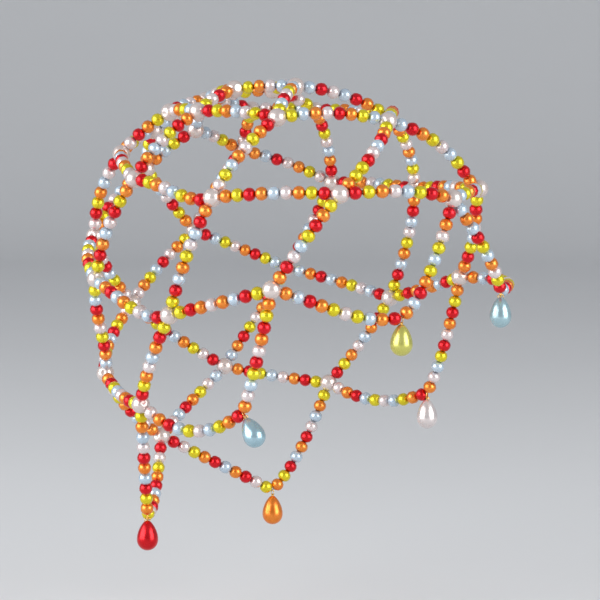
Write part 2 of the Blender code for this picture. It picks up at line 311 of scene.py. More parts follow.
@dataclass(frozen=True)
class BeadingThread:
    """The twisted pale thread inside the beads."""

    name: str = "beading_thread"
    light: tuple[float, float, float] = (0.82, 0.78, 0.72)
    dark: tuple[float, float, float] = (0.52, 0.48, 0.43)
    twist_scale: float = 900.0
    twist_depth: float = 0.0001
    roughness: float = 0.6

    def dress(self) -> bpy.types.Material:
        """Build the thread as a material.

        Returns:
            The material.
        """
        made, shader = blank_material(self.name)
        nodes, links = made.node_tree.nodes, made.node_tree.links
        place = nodes.new("ShaderNodeTexCoord")
        twist = nodes.new("ShaderNodeTexWave")
        twist.bands_direction = "DIAGONAL"
        twist.inputs["Scale"].default_value = self.twist_scale
        twist.inputs["Distortion"].default_value = 1.5
        mix = nodes.new("ShaderNodeMix")
        mix.data_type = "RGBA"
        mix.inputs["A"].default_value = (*self.dark, 1.0)
        mix.inputs["B"].default_value = (*self.light, 1.0)
        bump = nodes.new("ShaderNodeBump")
        bump.inputs["Strength"].default_value = 0.4
        bump.inputs["Distance"].default_value = self.twist_depth
        links.new(place.outputs["Object"], twist.inputs["Vector"])
        links.new(twist.outputs["Fac"], mix.inputs["Factor"])
        links.new(twist.outputs["Fac"], bump.inputs["Height"])
        links.new(mix.outputs["Result"], shader.inputs["Base Color"])
        links.new(bump.outputs["Normal"], shader.inputs["Normal"])
        shader.inputs["Roughness"].default_value = self.roughness
        return made


# azimuth, coat of the drop
DROP_COATS: dict[int, PearlCoat] = {
    330: PearlCoat("drop_ice_blue", (0.36, 0.53, 0.59), (0.41, 0.58, 0.63)),
    30: PearlCoat("drop_lemon", (0.58, 0.56, 0.13), (0.64, 0.62, 0.17)),
    90: PearlCoat("drop_pale_blue", (0.33, 0.50, 0.58), (0.38, 0.55, 0.63)),
    150: PearlCoat("drop_red", (0.56, 0.003, 0.008), (0.64, 0.008, 0.015)),
    210: PearlCoat("drop_orange", (0.80, 0.20, 0.02), (0.86, 0.27, 0.04)),
    270: PearlCoat("drop_white", (0.72, 0.65, 0.64), (0.80, 0.74, 0.73)),
}
BEAD_COATS: dict[BeadColour, PearlCoat] = {
    BeadColour.WHITE: PearlCoat("bead_white", (0.69, 0.59, 0.59), (0.75, 0.67, 0.67), 0.55),
    BeadColour.BLUE: PearlCoat("bead_blue", (0.46, 0.57, 0.68), (0.54, 0.65, 0.74), 0.5),
    BeadColour.YELLOW: PearlCoat("bead_yellow", (0.72, 0.60, 0.012), (0.80, 0.70, 0.03)),
    BeadColour.ORANGE: PearlCoat("bead_orange", (0.84, 0.22, 0.02), (0.90, 0.30, 0.05)),
    BeadColour.RED: PearlCoat("bead_red", (0.62, 0.003, 0.008), (0.72, 0.008, 0.02)),
}
KNOT_COAT = PearlCoat("knot_pearl", (0.66, 0.56, 0.53), (0.72, 0.64, 0.61), 0.6)
GOLD = MottledFace("gold_plate", (0.95, 0.62, 0.18), (0.62, 0.36, 0.08), 900.0, 0.12, 0.28, 1.0)
PAPER = MottledFace("studio_paper", (0.70, 0.71, 0.72), (0.68, 0.69, 0.70), 3.0, 0.88, 0.92, 0.0)


@dataclass
class Finishes:
    """Every material of the hat, built once and shared."""

    beads: dict[str, bpy.types.Material] = field(default_factory=dict)
    drops: dict[int, bpy.types.Material] = field(default_factory=dict)
    knot: bpy.types.Material | None = None
    gold: bpy.types.Material | None = None
    thread: bpy.types.Material | None = None

    def dress(self) -> None:
        """Build all the materials."""
        for colour, coat in BEAD_COATS.items():
            self.beads[colour.value] = coat.dress()
        for azimuth, coat in DROP_COATS.items():
            self.drops[azimuth] = coat.dress()
        self.knot = KNOT_COAT.dress()
        self.gold = GOLD.dress()
        self.thread = BeadingThread().dress()


# Hand tools
def deselect_all() -> None:
    """Leave nothing selected."""
    bpy.ops.object.select_all(action="DESELECT")


def pick(piece: bpy.types.Object, test: Callable[[Vector], bool]) -> None:
    """Select only the vertices that pass a test, in edit mode.

    Args:
        piece: The object that is being edited.
        test: Says of a vertex's place whether it is picked.
    """
    bpy.ops.mesh.select_mode(type="VERT")
    bpy.ops.mesh.select_all(action="DESELECT")
    mesh = bmesh.from_edit_mesh(piece.data)
    for vert in mesh.verts:
        vert.select = test(vert.co)
    mesh.select_flush_mode()
    bmesh.update_edit_mesh(piece.data)


def copy_at(mould: bpy.types.Object, place: Matrix, coat: bpy.types.Material) -> bpy.types.Object:
    """A copy of a modelled piece with its own mesh, put in place in that mesh.

    Args:
        mould: The piece to copy.
        place: Where the copy goes.
        coat: The copy's finish.

    Returns:
        The copy.
    """
    made = mould.copy()
    made.data = mould.data.copy()
    made.data.transform(place)
    made.data.materials.clear()
    made.data.materials.append(coat)
    bpy.context.collection.objects.link(made)
    return made


def facing(centre: Vector, axis: Vector, wide: float = 1.0, long: float = 1.0,
           roll: float = 0.0) -> Matrix:
    """A placement that turns a piece's own Z along an axis.

    Args:
        centre: Where the piece's middle goes.
        axis: The way that its Z then points.
        wide: How much wider it becomes.
        long: How much longer it becomes along the axis.
        roll: Its turn about that axis, in radians.

    Returns:
        The placement.
    """
    turn = axis.to_track_quat("Z", "Y").to_matrix().to_4x4()
    spin = Matrix.Rotation(roll, 4, "Z")
    sizes = Matrix.Diagonal((wide, wide, long, 1.0))
    return Matrix.Translation(centre) @ turn @ spin @ sizes


def join(name: str, parts: list[bpy.types.Object]) -> bpy.types.Object:
    """Join parts into one named object at the origin.

    Args:
        name: The finished piece's name.
        parts: The parts, each with its place in its mesh.

    Returns:
        The finished piece.
    """
    deselect_all()
    for part in parts:
        part.select_set(True)
    bpy.context.view_layer.objects.active = parts[0]
    bpy.ops.object.join()
    made = bpy.context.object
    made.name = name
    made.data.name = name
    bpy.ops.object.transform_apply(location=True, rotation=True, scale=True)
    return made


def hand_over(piece: bpy.types.Object, node: str) -> None:
    """Give a finished piece to the frame in place of one CAD node.

    Args:
        piece: The finished piece.
        node: The node that it stands for.
    """
    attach(piece, "root")
    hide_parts(node)


def report(piece: bpy.types.Object) -> None:
    """Log a finished piece."""
    LOG.info("%s: %d faces", piece.name, len(piece.data.polygons))


# Where the net lies
def round_azimuths(first: int) -> list[int]:
    """The azimuths of a round's knots, from its first."""
    return [first + SECTOR * turn for turn in range(SIDES)]


@dataclass
class DrapingForm:
    """The smooth form that the middles of the beads rest on."""

    half_width: float = 0.085
    half_back: float = 0.095
    half_front: float = 0.116
    dome_height: float = 0.091
    dome_power: float = 2.4
    nape_taper: float = 35.0
    small_step: float = 1e-6
    passes: int = 4

    @property
    def drop(self) -> float:
        """How far the form's middle lies under the origin."""
        return self.dome_height - BEAD / 2

    def value(self, point: Vector) -> float:
        """How far a point is outside or inside the form.

        Args:
            point: The point.

        Returns:
            Above zero outside, below zero inside; it is no length.
        """
        z = point.z + self.drop
        reach = self.half_front if point.y < 0 else self.half_back
        taper = 1.0 - self.nape_taper * z * z if z < 0 else 1.0
        wide = point.x / (self.half_width * taper)
        deep = point.y / (reach * taper)
        dome = (z / self.dome_height) ** self.dome_power if z > 0 else 0.0
        return wide ** 2 + deep ** 2 + dome - 1.0

    def slope(self, point: Vector) -> Vector:
        """The gradient of value, by small steps.

        Args:
            point: Where it is taken.

        Returns:
            The gradient, which points outwards.
        """
        slope = Vector()
        for axis in range(3):
            ahead, behind = point.copy(), point.copy()
            ahead[axis] += self.small_step
            behind[axis] -= self.small_step
            slope[axis] = (self.value(ahead) - self.value(behind)) / (2 * self.small_step)
        return slope

    def onto(self, point: Vector) -> Vector:
        """Bring a point onto the form.

        Args:
            point: A point near the form.

        Returns:
            The point of the form close to it.
        """
        for _ in range(self.passes):
            slope = self.slope(point)
            point = point - slope * (self.value(point) / slope.length_squared)
        return point

    def walk(self, start: Vector, heading: Vector, length: float, steps: int = 8) -> Vector:
        """Walk over the form.

        Args:
            start: A point of the form.
            heading: The way to go.
            length: How far.
            steps: In how many steps.

        Returns:
            The point that is reached.
        """
        point = start.copy()
        for _ in range(steps):
            ahead = self.onto(point + heading.normalized() * (length / steps))
            normal = self.slope(ahead).normalized()
            heading = ahead - point
            heading = heading - normal * heading.dot(normal)
            point = ahead
        return point


def bow_share(t: float, late: int) -> float:
    """The share of a string's full bow at t along it, from 0 to 1."""
    fullness = (late + 1) ** (late + 1) / late ** late
    return fullness * t ** late * (1 - t)


@dataclass
class Net:
    """The knots of the net and the lines of its strings."""

    form: DrapingForm = field(default_factory=DrapingForm)
    # round, beads in each string, pull of the strings, first azimuth
    rounds: tuple[tuple[str, int, float, int], ...] = (
        ("a", 4, 1.00, 0),
        ("b", 7, 1.00, 30),
        ("c", 8, 0.95, 0),
        ("d", 9, 1.00, 30),
        ("e", 8, 1.00, 0),
    )
    # round, azimuth, moved to the wearer's left, back and up in mm, rests on the form
    lies: tuple[tuple[str, int, float, float, float, bool], ...] = (
        ("pole", 0, -3.0, 0.0, 0.0, True),
        ("crown", 30, 0.0, -2.5, 0.0, True),
        ("crown", 90, -1.0, 0.0, 0.0, True),
        ("crown", 270, -1.5, 0.0, 0.0, True),
        ("a", 60, 0.0, -2.0, 0.0, True),
        ("b", 30, -2.0, 1.0, 0.0, True),
        ("b", 90, 0.0, 2.0, 7.0, True),
        ("b", 330, 2.0, 0.0, -1.0, True),
        ("c", 0, -2.5, 0.0, 0.0, True),
        ("c", 60, 0.0, 1.5, 0.0, True),
        ("c", 120, 0.0, 0.0, 2.0, True),
        ("d", 30, -2.5, 1.0, 2.0, True),
        ("d", 90, 0.0, 0.0, 2.0, True),
        ("d", 150, 0.0, 0.0, 4.0, True),
        ("d", 330, 1.0, -3.5, 1.0, False),
        ("e", 60, 0.0, 0.0, 2.0, True),
        ("e", 120, 0.0, 0.0, 2.0, True),
        ("e", 180, -4.0, 0.0, 2.0, True),
        ("swag", 30, 0.0, -2.0, 2.0, False),
        ("swag", 90, 7.2, 3.9, 2.5, False),
        ("swag", 150, 0.0, 3.0, -1.5, False),
        ("swag", 330, 21.0, -11.5, 11.0, False),
    )
    # round, azimuth of the lower knot, side of the string, its bow in mm to the wearer's
    # left, back and up, 2 or 3 if it bows most past its middle
    bows: tuple[tuple[str, int, int, float, float, float, int], ...] = (
        ("c", 60, 30, 0.0, 0.0, -3.2, 3),
        ("d", 30, -30, 1.6, -1.9, -2.6, 1),
        ("d", 90, 30, 0.0, 0.0, -3.8, 3),
        ("d", 150, -30, 2.4, -2.9, 0.0, 2),
        ("e", 120, 30, 1.8, -2.2, -1.4, 1),
    )
    pole_tilt: float = 26.0
    spoke_beads: int = 4
    swag_beads: int = 10
    swag_reach: float = 0.0622
    mean_radius: float = 0.095
    # nearest and farthest place of the pole from the form's middle, halvings between them
    pole_search: tuple[float, float, int] = (0.02, 0.2, 50)
    # a hanging knot's first guess in string lengths, steps, weight of the form, longest step
    first_guess: float = 0.7
    hang_steps: int = 20
    form_weight: float = 0.1
    longest_step: float = 0.012
    # azimuth and side of a swag's leg, the way it sags, 2 if deepest past its middle
    sags: dict[tuple[int, int], tuple[Vector, int]] = field(default_factory=lambda: {
        (330, -30): (Vector((0.95, -0.30, 0.05)), 1),
        (330, 30): (Vector((0.20, -0.76, -0.60)), 1),
        (30, 30): (Vector((0.0, 0.0, -1.0)), 2),
    })
    knots: dict[Key, Vector] = field(default_factory=dict)

    def tie(self) -> None:
        """Find every knot, from the pole down."""
        tilt = radians(self.pole_tilt)
        upward = Vector((0.0, sin(tilt), cos(tilt)))
        centre = Vector((0.0, 0.0, -self.form.drop))
        low, high, halvings = self.pole_search
        for _ in range(halvings):
            middle = (low + high) / 2
            if self.form.value(centre + upward * middle) > 0:
                high = middle
            else:
                low = middle
        pole = centre + upward * low
        found: dict[Key, Vector] = {("pole", 0): pole}
        normal = self.form.slope(pole).normalized()
        forward = Vector((0.0, -1.0, 0.0))
        forward = (forward - normal * forward.dot(normal)).normalized()
        for azimuth in round_azimuths(HALF_SECTOR):
            angle = radians(azimuth)
            heading = forward * cos(angle) + Vector((-1.0, 0.0, 0.0)) * sin(angle)
            length = self.spoke_beads * BEAD + PEARL
            found[("crown", azimuth)] = self.form.walk(pole, heading, length)
        above = "crown"
        for name, beads, pull, first in self.rounds:
            length = (beads * BEAD + PEARL) * pull
            for azimuth in round_azimuths(first):
                left = found[(above, (azimuth - HALF_SECTOR) % 360)]
                right = found[(above, (azimuth + HALF_SECTOR) % 360)]
                found[(name, azimuth)] = self.hang(left, right, length, pole)
            above = name
        for azimuth in round_azimuths(HALF_SECTOR):
            left = found[("e", (azimuth - HALF_SECTOR) % 360)]
            right = found[("e", (azimuth + HALF_SECTOR) % 360)]
            found[("swag", azimuth)] = self.bottom(left, right)
        self.knots = {key: self.lie(key, point) for key, point in found.items()}

    def hang(self, left: Vector, right: Vector, length: float, pole: Vector) -> Vector:
        """The point of the form that hangs at one string length from two knots.

        Args:
            left: One upper knot.
            right: The other upper knot.
            length: The strings' length over the form.
            pole: The net's middle, which the point lies away from.

        Returns:
            The lower knot.
        """
        chord = 2 * self.mean_radius * sin(length / (2 * self.mean_radius))
        middle = (left + right) / 2
        normal = self.form.slope(middle).normalized()
        away = middle - pole
        away = away - normal * away.dot(normal)
        point = self.form.onto(middle + away.normalized() * chord * self.first_guess)
        for _ in range(self.hang_steps):
            slope = self.form.slope(point)
            to_left, to_right = point - left, point - right
            miss = Vector((
                self.form.value(point) * self.form_weight,
                to_left.length - chord,
                to_right.length - chord,
            ))
            ways = (slope * self.form_weight, to_left.normalized(), to_right.normalized())
            move = Matrix(ways).inverted() @ miss
            if move.length > self.longest_step:
                move = move * (self.longest_step / move.length)
            point = point - move
        return point

    def bottom(self, left: Vector, right: Vector) -> Vector:
        """The lowest point of a swag that hangs free.

        Args:
            left: One upper knot.
            right: The other upper knot.

        Returns:
            The point.
        """
        across = right - left
        down = Vector((0.0, 0.0, -1.0))
        down = down - across.normalized() * down.dot(across.normalized())
        depth = sqrt(max(self.swag_reach ** 2 - across.length_squared / 4, 1e-6))
        return (left + right) / 2 + down.normalized() * depth

    def lie(self, key: Key, point: Vector) -> Vector:
        """Move a knot to where it lies in the photograph.

        Args:
            key: The knot's round and azimuth.
            point: Where it hangs by its strings alone.

        Returns:
            Where it lies.
        """
        for name, azimuth, left, back, up, rests in self.lies:
            if (name, azimuth) == key:
                point = point + Vector((left, back, up)) / 1000
                if rests:
                    point = self.form.onto(point)
        return point

    def draped(self, start: Vector, end: Vector, steps: int = 12) -> Line:
        """Points of a string drawn over the form.

        Args:
            start: The upper knot.
            end: The lower knot.
            steps: How many stretches the line has.

        Returns:
            The points from the upper knot down.
        """
        line = []
        for step in range(steps + 1):
            point = start.lerp(end, step / steps)
            if 0 < step < steps and self.form.value(point) < 0:
                point = self.form.onto(point)
            line.append(point)
        return line

    def strung(self, name: str, above: str, azimuth: int, side: int) -> Line:
        """Points of one net string, with the bow that it has in the photograph.

        Args:
            name: The round of its lower knot.
            above: The round of its upper knot.
            azimuth: The azimuth of its lower knot.
            side: -30 or 30, the side that it comes from.

        Returns:
            The points from the upper knot down.
        """
        top = self.knots[(above, (azimuth + side) % 360)]
        line = self.draped(top, self.knots[(name, azimuth)])
        last = len(line) - 1
        for row, place, way, left, back, up, late in self.bows:
            if (row, place, way) == (name, azimuth, side):
                bow = Vector((left, back, up)) / 1000
                line = [point + bow * bow_share(step / last, late)
                        for step, point in enumerate(line)]
        return line

    def leg(self, azimuth: int, side: int, steps: int = 16) -> Line:
        """Points of one leg of a swag.

        Args:
            azimuth: The swag's azimuth.
            side: -30 or 30, the side that the leg comes from.
            steps: How many stretches the line has.

        Returns:
            The points from its upper knot to the swag's bottom.
        """
        start = self.knots[("e", (azimuth + side) % 360)]
        end = self.knots[("swag", azimuth)]
        sagging, late = self.sags.get((azimuth, side), (Vector((0.0, 0.0, -1.0)), 1))
        length = self.swag_beads * BEAD + PEARL / 2
        chord = (end - start).length
        sag = sqrt(3.0 / 8.0 * chord * max(length - chord, 0.0))
        line = []
        for step in range(steps + 1):
            t = step / steps
            line.append(start.lerp(end, t) + sagging * (sag * bow_share(t, late)))
        return line


def line_length(line: Line) -> float:
    """The length of a line of points."""
    return sum((two - one).length for one, two in zip(line, line[1:]))


def at_distance(line: Line, distance: float) -> Vector:
    """The point at a distance along a line of points.

    Args:
        line: The points.
        distance: How far along.

    Returns:
        The point, or the line's end if the line is shorter.
    """
    for one, two in zip(line, line[1:]):
        length = (two - one).length
        if distance <= length:
            return one.lerp(two, distance / length)
        distance -= length
    return line[-1].copy()


# Moulds
@dataclass
class RoundMould:
    """A round bead, a little flat at the thread hole at each end of its own Z."""

    name: str
    diameter: float
    length: float
    segments: int
    bands: int
    hole: float
    dimple: float
    # how near a ring's height a vertex lies that is picked with it
    near: float = 1e-5

    def model(self) -> bpy.types.Object:
        """Model the bead from a sphere: flatten its end rings and push the poles in.

        Returns:
            The mould.
        """
        radius = self.diameter / 2
        deselect_all()
        bpy.ops.mesh.primitive_uv_sphere_add(
            segments=self.segments, ring_count=self.bands, radius=radius, location=(0, 0, 0))
        bead = bpy.context.object
        bead.name = self.name
        ring = radius * cos(pi / self.bands)
        narrow = self.hole / 2 / (radius * sin(pi / self.bands))
        bpy.ops.object.mode_set(mode="EDIT")
        for end in (1, -1):
            pick(bead, lambda co: co.z * end > radius - self.near)
            to_hole = self.length / 2 - self.dimple - radius
            bpy.ops.transform.translate(value=(0.0, 0.0, end * to_hole))
            pick(bead, lambda co: abs(co.z * end - ring) < self.near)
            bpy.ops.transform.resize(
                value=(narrow, narrow, 1.0), center_override=(0.0, 0.0, 0.0))
            bpy.ops.transform.translate(value=(0.0, 0.0, end * (self.length / 2 - ring)))
        bpy.ops.object.mode_set(mode="OBJECT")
        bpy.ops.object.shade_smooth_by_angle(angle=radians(75))
        return bead


@dataclass
class DropMould:
    """A teardrop pearl that hangs from its tip, with the tip at the origin."""

    width: float = 0.0106
    height: float = 0.0148
    tip: float = 0.0014
    shoulder: float = 0.7
    segments: int = 24
    bands: int = 18
    # how near a ring's height a vertex lies, and how far shaped rings wait out of the way
    near: float = 1e-4
    aside: float = 10.0

    def radius_at(self, depth: float) -> float:
        """The drop's profile.

        Args:
            depth: How far under its tip.

        Returns:
            The radius there.
        """
        belly = self.width / 2
        low = self.height - belly
        if depth < low:
            rise = sin(pi / 2 * depth / low) ** self.shoulder
            return self.tip / 2 + (belly - self.tip / 2) * rise
        return sqrt(max(belly ** 2 - (depth - low) ** 2, 0.0))

    def model(self) -> bpy.types.Object:
        """Model the drop from a sphere: every ring is drawn to the teardrop's profile.

        Returns:
            The mould.
        """
        deselect_all()
        bpy.ops.mesh.primitive_uv_sphere_add(
            segments=self.segments, ring_count=self.bands, radius=1.0, location=(0, 0, 0))
        drop = bpy.context.object
        drop.name = "drop_mould"
        bpy.ops.object.mode_set(mode="EDIT")
        for band in range(self.bands + 1):
            angle = pi * band / self.bands
            height, wide = cos(angle), sin(angle)
            pick(drop, lambda co: abs(co.z - height) < self.near)
            depth = self.height * (1 - cos(angle)) / 2
            if wide > self.near:
                scale = max(self.radius_at(depth), self.tip / 2) / wide
                bpy.ops.transform.resize(
                    value=(scale, scale, 1.0), center_override=(0.0, 0.0, 0.0))
            bpy.ops.transform.translate(value=(0.0, 0.0, -self.aside - depth - height))
        bpy.ops.mesh.select_all(action="SELECT")
        bpy.ops.transform.translate(value=(0.0, 0.0, self.aside))
        bpy.ops.object.mode_set(mode="OBJECT")
        smooth = drop.modifiers.new("smooth", "SUBSURF")
        smooth.levels = 1
        smooth.render_levels = 1
        bpy.ops.object.modifier_apply(modifier=smooth.name)
        bpy.ops.object.shade_smooth_by_angle(angle=radians(60))
        return drop


@dataclass
class RingMould:
    """An open gold jump ring that stands upright, its slit at the side."""

    radius: float = 0.0010
    wire: float = 0.00055
    slit: float = 12.0
    wire_sides: int = 8
    bends: int = 24

    def model(self) -> bpy.types.Object:
        """Model the ring by spinning the wire's round end.

        Returns:
            The mould.
        """
        deselect_all()
        bpy.ops.mesh.primitive_circle_add(
            vertices=self.wire_sides, radius=self.wire / 2, fill_type="NGON",
            location=(self.radius, 0, 0), rotation=(pi / 2, 0, 0))
        ring = bpy.context.object
        ring.name = "ring_mould"
        bpy.ops.object.transform_apply(location=True, rotation=True, scale=True)
        bpy.ops.object.mode_set(mode="EDIT")
        bpy.ops.mesh.select_all(action="SELECT")
        bpy.ops.mesh.spin(
            steps=self.bends, angle=radians(360 - self.slit), center=(0, 0, 0),
            axis=(0, 0, 1))
        bpy.ops.mesh.select_all(action="SELECT")
        bpy.ops.mesh.remove_doubles(threshold=1e-6)
        bpy.ops.mesh.normals_make_consistent(inside=False)
        bpy.ops.object.mode_set(mode="OBJECT")
        bpy.ops.object.shade_smooth_by_angle(angle=radians(60))
        return ring


@dataclass
class CapMould:
    """A small gold cup on a drop's tip, its top at the origin."""

    top: float = 0.0012
    mouth: float = 0.0020
    height: float = 0.0008
    wall: float = 0.0002
    hollow: float = 0.4
    rounding: float = 0.00025

    def model(self) -> bpy.types.Object:
        """Model the cup from a cylinder: flared, bevelled and hollowed.

        Returns:
            The mould.
        """
        deselect_all()
        bpy.ops.mesh.primitive_cylinder_add(
            vertices=16, radius=self.top / 2, depth=self.height,
            location=(0, 0, -self.height / 2))
        cup = bpy.context.object
        cup.name = "cap_mould"
        bpy.ops.object.transform_apply(location=True, rotation=True, scale=True)
        bpy.ops.object.mode_set(mode="EDIT")
        pick(cup, lambda co: co.z < -self.height * 0.5)
        flare = self.mouth / self.top
        bpy.ops.transform.resize(value=(flare, flare, 1.0), center_override=(0, 0, 0))
        bpy.ops.mesh.select_mode(type="FACE")
        bpy.ops.mesh.inset(thickness=self.wall)
        bpy.ops.transform.translate(value=(0.0, 0.0, self.height * self.hollow))
        pick(cup, lambda co: co.z > -self.height * 0.2)
        bpy.ops.mesh.bevel(offset=self.rounding, segments=2, affect="EDGES")
        bpy.ops.object.mode_set(mode="OBJECT")
        bpy.ops.object.shade_smooth_by_angle(angle=radians(50))
        return cup


@dataclass
class Moulds:
    """The shapes that repeat, each modelled once."""

    bead: bpy.types.Object | None = None
    pearl: bpy.types.Object | None = None
    drop: bpy.types.Object | None = None
    ring: bpy.types.Object | None = None
    cap: bpy.types.Object | None = None

    def model(self) -> None:
        """Model every mould."""
        self.bead = RoundMould(
            "bead_mould", diameter=0.0066, length=BEAD, segments=10, bands=7,
            hole=0.0022, dimple=0.0007).model()
        self.pearl = RoundMould(
            "pearl_mould", diameter=0.0088, length=0.0083, segments=20, bands=12,
            hole=0.0019, dimple=0.0010).model()
        self.drop = DropMould().model()
        self.ring = RingMould().model()
        self.cap = CapMould().model()

    def clear(self) -> None:
        """Remove the moulds when all copies are made."""
        for mould in (self.bead, self.pearl, self.drop, self.ring, self.cap):
            bpy.data.objects.remove(mould)


# Sub-assemblies
@dataclass
class Workshop:
    """What every sub-assembly is made with."""

    net: Net
    moulds: Moulds
    finishes: Finishes


@dataclass
class BeadString:
    """One string: a thread with its beads, from an upper knot down its line."""

    shop: Workshop
    line: Line
    letters: str
    seed: int
    end_gap: float = PEARL / 2
    thread: float = 0.0006
    thread_bends: int = 8
    # how much the beads differ in width, how far they sit off the thread's line
    spread: float = 0.012
    wander: float = 0.00012
    # the share of the pitch that a bead fills, and the longest that it is drawn out
    snug: float = 0.995
    longest: float = 1.02

    def build(self) -> list[bpy.types.Object]:
        """Make the beads and the thread.

        Returns:
            The parts, each with its place in its mesh.
        """
        luck = Random(self.seed)
        total = line_length(self.line)
        start = PEARL / 2
        pitch = (total - start - self.end_gap) / len(self.letters)
        parts = []
        for place, letter in enumerate(self.letters):
            middle = start + pitch * (place + 0.5)
            before = at_distance(self.line, middle - pitch / 2)
            after = at_distance(self.line, middle + pitch / 2)
            axis = (after - before).normalized()
            long = min(pitch * self.snug, BEAD * self.longest) / BEAD
            wide = 1 + luck.uniform(-self.spread, self.spread)
            off = axis.orthogonal().normalized() * luck.uniform(-self.wander, self.wander)
            centre = at_distance(self.line, middle) + off
            spot = facing(centre, axis, wide, long, luck.uniform(0, 2 * pi))
            coat = self.shop.finishes.beads[letter]
            parts.append(copy_at(self.shop.moulds.bead, spot, coat))
        parts.append(self.draw_thread(total))
        return parts

    def draw_thread(self, total: float) -> bpy.types.Object:
        """Extrude the thread's round end along the string.

        Args:
            total: The line's length.

        Returns:
            The thread.
        """
        bends = self.thread_bends
        stops = [at_distance(self.line, total * step / bends) for step in range(bends + 1)]
        way = (stops[-1] - stops[0]).normalized()
        turn = way.to_track_quat("Z", "Y").to_euler()
        deselect_all()
        bpy.ops.mesh.primitive_circle_add(
            vertices=6, radius=self.thread / 2, fill_type="NGON",
            location=stops[0], rotation=turn)
        thread = bpy.context.object
        bpy.ops.object.transform_apply(location=True, rotation=True, scale=True)
        bpy.ops.object.mode_set(mode="EDIT")
        bpy.ops.mesh.select_all(action="SELECT")
        for one, two in zip(stops, stops[1:]):
            bpy.ops.mesh.extrude_region_move(
                TRANSFORM_OT_translate={"value": tuple(two - one)})
        bpy.ops.mesh.select_all(action="SELECT")
        bpy.ops.mesh.remove_doubles(threshold=1e-7)
        bpy.ops.mesh.normals_make_consistent(inside=False)
        bpy.ops.object.mode_set(mode="OBJECT")
        bpy.ops.object.shade_smooth_by_angle(angle=radians(70))
        thread.data.materials.append(self.shop.finishes.thread)
        return thread


def letters_for(name: str, azimuth: int, side: int) -> str:
    """The beads of a string, from the top; a side without its own row mirrors the other.

    Args:
        name: The round of the lower knot.
        azimuth: The azimuth of the lower knot.
        side: -30, 0 or 30, the side that the string comes from.

    Returns:
        One letter a bead.
    """
    own = CHART.get((name, azimuth, side))
    return own or CHART[(name, (360 - azimuth) % 360, -side)]


def pearl_at(shop: Workshop, centre: Vector, axis: Vector) -> bpy.types.Object:
    """A knot pearl whose hole lies along an axis."""
    return copy_at(shop.moulds.pearl, facing(centre, axis), shop.finishes.knot)


@dataclass
class CrownStar:
    """The pole pearl, its six spokes and the pearls at their ends."""

    shop: Workshop

    def build(self) -> bpy.types.Object:
        """Build the star and give it to the frame.

        Returns:
            The finished piece.
        """
        net = self.shop.net
        pole = net.knots[("pole", 0)]
        parts = [pearl_at(self.shop, pole, Vector((1.0, 0.0, 0.0)))]
        for azimuth in round_azimuths(HALF_SECTOR):
            end = net.knots[("crown", azimuth)]
            letters = letters_for("crown", azimuth, 0)
            string = BeadString(self.shop, net.draped(pole, end, 8), letters, azimuth)
            parts.extend(string.build())
            parts.append(pearl_at(self.shop, end, pole - end))
        made = join("beads_crown_star", parts)
        hand_over(made, "crown_star")
        return made


@dataclass
class NetPiece:
    """A knot pearl and the two strings that hold it to the round above."""

    shop: Workshop
    name: str
    above: str
    azimuth: int

    def build(self) -> bpy.types.Object:
        """Build the piece and give it to the frame.

        Returns:
            The finished piece.
        """
        net = self.shop.net
        knot = net.knots[(self.name, self.azimuth)]
        across = (net.knots[(self.above, (self.azimuth + HALF_SECTOR) % 360)]
                  - net.knots[(self.above, (self.azimuth - HALF_SECTOR) % 360)])
        parts = [pearl_at(self.shop, knot, across)]
        for side in (-HALF_SECTOR, HALF_SECTOR):
            line = net.strung(self.name, self.above, self.azimuth, side)
            letters = letters_for(self.name, self.azimuth, side)
            seed = self.azimuth * 7 + side + ord(self.name)
            string = BeadString(self.shop, line, letters, seed)
            parts.extend(string.build())
        node = f"round_{self.name}_{PLACES[self.azimuth]}"
        made = join(f"beads_{node}", parts)
        hand_over(made, node)
        return made


@dataclass
class Swag:
    """Two strings that hang as a V between two pearls of the last round."""

    shop: Workshop
    azimuth: int
    # how far apart the middles of the two last beads are, the least angle and the least
    # gap at the bottom that this is worked out with
    touch: float = 0.0061
    flattest: float = 0.05
    least_gap: float = 0.0004

    def build(self) -> bpy.types.Object:
        """Build the swag and give it to the frame.

        Returns:
            The finished piece.
        """
        sides = (-HALF_SECTOR, HALF_SECTOR)
        legs = {side: self.shop.net.leg(self.azimuth, side) for side in sides}
        one, two = ((line[-3] - line[-1]).normalized() for line in legs.values())
        half = sqrt(max((1 - one.dot(two)) / 2, self.flattest))
        gap = max(self.touch / 2 / half - BEAD / 2, self.least_gap)
        parts = []
        for side, line in legs.items():
            letters = letters_for("swag", self.azimuth, side)
            string = BeadString(self.shop, line, letters, self.azimuth + side, end_gap=gap)
            parts.extend(string.build())
        node = f"swag_{PLACES[self.azimuth]}"
        made = join(f"beads_{node}", parts)
        hand_over(made, node)
        return made


